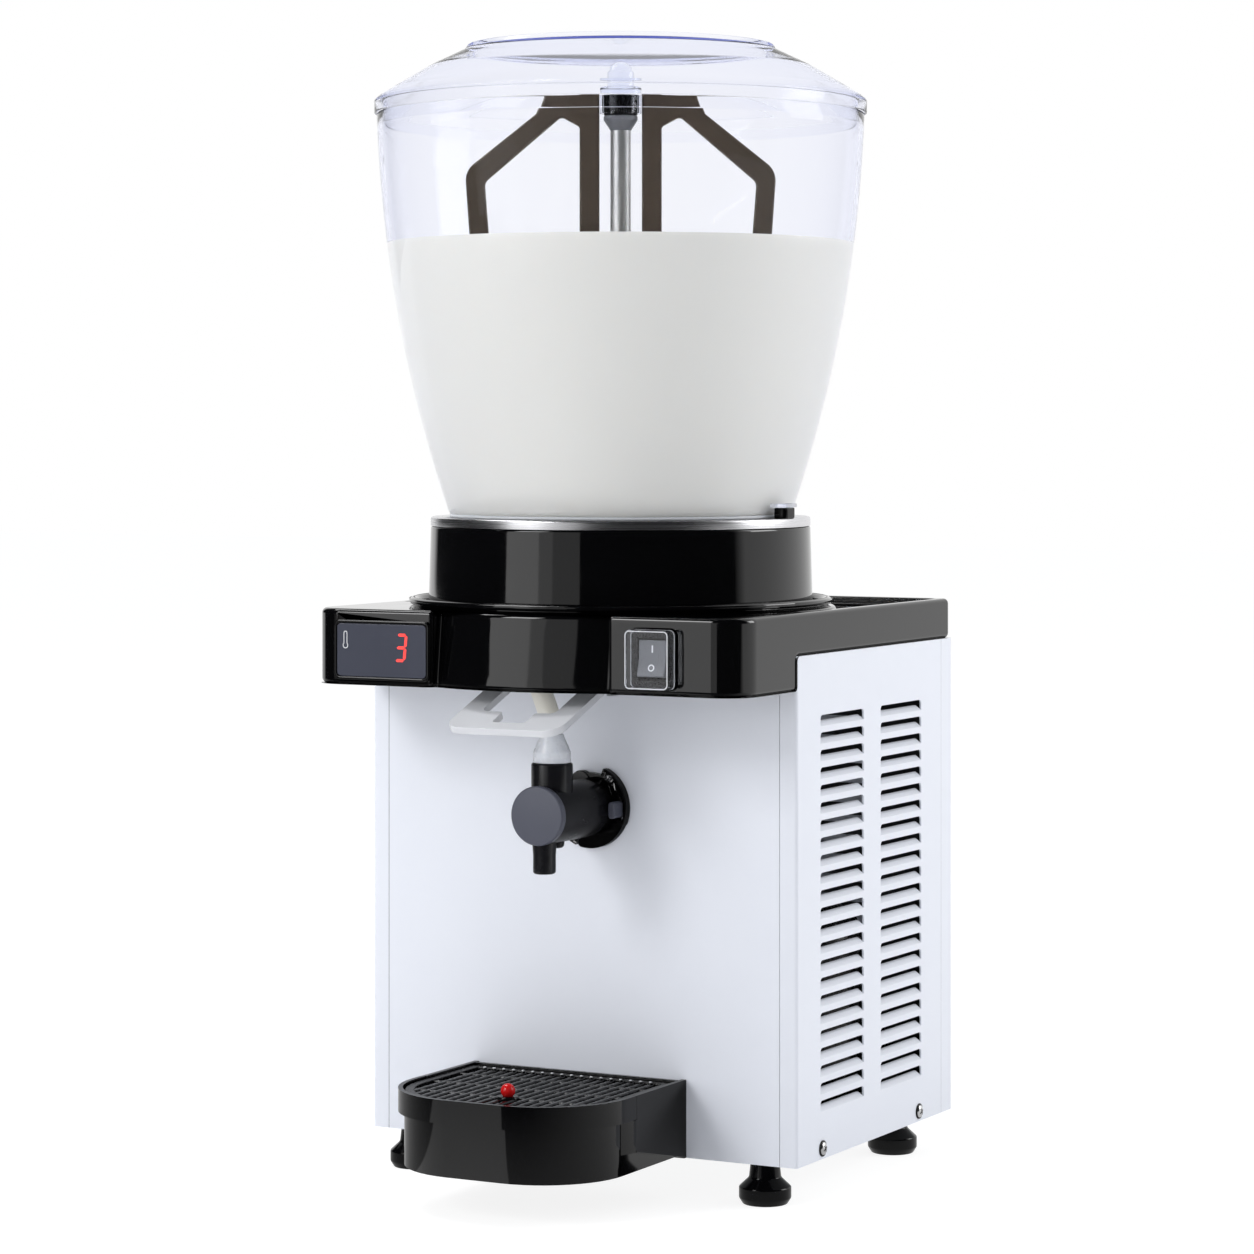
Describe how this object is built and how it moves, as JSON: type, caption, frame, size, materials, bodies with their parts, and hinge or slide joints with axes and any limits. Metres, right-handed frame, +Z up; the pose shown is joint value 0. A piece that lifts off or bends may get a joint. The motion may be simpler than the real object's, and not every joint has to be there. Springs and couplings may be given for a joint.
{
  "type": "cold drink dispenser with mixer",
  "caption": "Countertop chilled drink dispenser: clear bowl with a turning paddle on a cooled steel tank, white case, lever tap with pump, and a drip tray.",
  "frame": {"origin": "on the floor under the bowl's axis, at the middle of the footprint", "axes": "+Z up along the bowl's axis, -Y towards the tap and the drip tray, +X to the right as seen from the front"},
  "size_m": [0.3318, 0.398, 0.759],
  "materials": {
    "white_panel": "white powder coat",
    "black_gloss": "gloss moulded",
    "black_matte": "fine texture",
    "black_rubber": "matt",
    "brushed_steel": "brushed",
    "screw_steel": "plated",
    "galvanised": "galvanised sheet",
    "copper": "drawn tube",
    "bush_bronze": "sintered",
    "foam": "foam",
    "grey_seal": "soft",
    "grey_plastic": "moulded",
    "motor_grey": "satin",
    "compressor_black": "semi-gloss enamel",
    "fin_aluminium": "mill",
    "display_glass": "tinted gloss",
    "clear_cover": "clear",
    "clear_bowl": "clear",
    "pump_grey": "satin moulded",
    "milky_funnel": "translucent",
    "beige_hose": "silicone",
    "white_lever": "gloss",
    "paddle_brown": "moulded",
    "float_red": "gloss"
  },
  "bodies": {
    "case": {"base_tray": "galvanised", "corner_uprights": "galvanised", "deck_plate": "galvanised", "front_panel": "white_panel", "left_side_panel": "white_panel", "right_side_panel": "white_panel", "rear_panel": "white_panel", "top_cover": "black_gloss", "tank_shell": "black_gloss", "steel_tank": "brushed_steel", "evaporator_coil": "copper", "tank_insulation": "foam", "bowl_gasket": "grey_seal", "locating_posts": "black_rubber", "mixer_column": "brushed_steel", "column_cone": "grey_plastic", "column_bushes": "bush_bronze", "mixer_gearmotor": "motor_grey", "compressor": "compressor_black", "compressor_mounts": "black_rubber", "condenser": "fin_aluminium", "fan_shroud": "galvanised", "fan_motor": "motor_grey", "filter_drier": "copper", "refrigerant_pipes": "copper", "thermostat_body": "grey_plastic", "display_bezel": "black_gloss", "display_window": "display_glass", "switch_housing": "black_matte", "switch_cover": "clear_cover", "pump_flange": "black_matte", "pump_housing": "pump_grey", "pump_front_cap": "pump_grey", "pump_motor": "motor_grey", "inlet_funnel": "milky_funnel", "drink_hose": "beige_hose", "outlet_elbow": "white_lever", "lever_bracket": "galvanised", "lever_pin": "brushed_steel", "tray_bracket": "black_gloss", "case_screws": "screw_steel", "power_gland": "black_matte"},
    "bowl": {"bowl": "clear_bowl"},
    "lid": {"lid": "clear_bowl"},
    "mixer": {"drive_shaft": "brushed_steel", "drive_coupling": "black_matte", "paddle_hub": "clear_cover", "left_paddle": "paddle_brown", "right_paddle": "paddle_brown"},
    "lever": {"tap_lever": "white_lever"},
    "rocker": {"rocker": "grey_plastic"},
    "tray": {"drip_tray": "black_gloss"},
    "grille": {"drip_grille": "black_matte"},
    "float": {"float": "float_red"},
    "fan": {"fan_blades": "grey_plastic"},
    "impeller": {"pump_impeller": "white_lever"},
    "front_left_foot": {"front_left_foot": "black_rubber"},
    "rear_left_foot": {"rear_left_foot": "black_rubber"},
    "front_right_foot": {"front_right_foot": "black_rubber"},
    "rear_right_foot": {"rear_right_foot": "black_rubber"}
  },
  "joints": [
    {"name": "bowl_lift", "type": "slide", "parent": "case", "child": "bowl", "axis": [0, 0, 1], "range_m": [0, 0.3]},
    {"name": "lid_lift", "type": "slide", "parent": "bowl", "child": "lid", "axis": [0, 0, 1], "range_m": [0, 0.12]},
    {"name": "mixer_spin", "type": "hinge", "parent": "case", "child": "mixer", "pos_m": [0, 0, 0.55], "axis": [0, 0, 1], "continuous": true},
    {"name": "lever_press", "type": "hinge", "parent": "case", "child": "lever", "pos_m": [0.002, -0.094, 0.3355], "axis": [1, 0, 0], "range_deg": [0, 12], "stiffness_Nm_per_rad": 0.6, "springref_deg": -8.59},
    {"name": "rocker_tilt", "type": "hinge", "parent": "case", "child": "rocker", "pos_m": [0.0984, -0.136, 0.3557], "axis": [1, 0, 0], "range_deg": [0, 16]},
    {"name": "tray_slide", "type": "slide", "parent": "case", "child": "tray", "axis": [0, -1, 0], "range_m": [0, 0.12]},
    {"name": "grille_lift", "type": "slide", "parent": "tray", "child": "grille", "axis": [0, 0, 1], "range_m": [0, 0.05]},
    {"name": "float_rise", "type": "slide", "parent": "grille", "child": "float", "axis": [0, 0, 1], "range_m": [0, 0.01]},
    {"name": "fan_spin", "type": "hinge", "parent": "case", "child": "fan", "pos_m": [-0.1, 0.064, 0.118], "axis": [1, 0, 0], "continuous": true},
    {"name": "impeller_spin", "type": "hinge", "parent": "case", "child": "impeller", "pos_m": [0.0105, -0.118, 0.252], "axis": [0, 1, 0], "continuous": true},
    {"name": "front_left_foot_turn", "type": "hinge", "parent": "case", "child": "front_left_foot", "pos_m": [-0.1324, -0.0484, 0.013], "axis": [0, 0, 1], "continuous": true},
    {"name": "rear_left_foot_turn", "type": "hinge", "parent": "case", "child": "rear_left_foot", "pos_m": [-0.1324, 0.151, 0.013], "axis": [0, 0, 1], "continuous": true},
    {"name": "front_right_foot_turn", "type": "hinge", "parent": "case", "child": "front_right_foot", "pos_m": [0.1324, -0.0484, 0.013], "axis": [0, 0, 1], "continuous": true},
    {"name": "rear_right_foot_turn", "type": "hinge", "parent": "case", "child": "rear_right_foot", "pos_m": [0.1324, 0.151, 0.013], "axis": [0, 0, 1], "continuous": true}
  ]
}
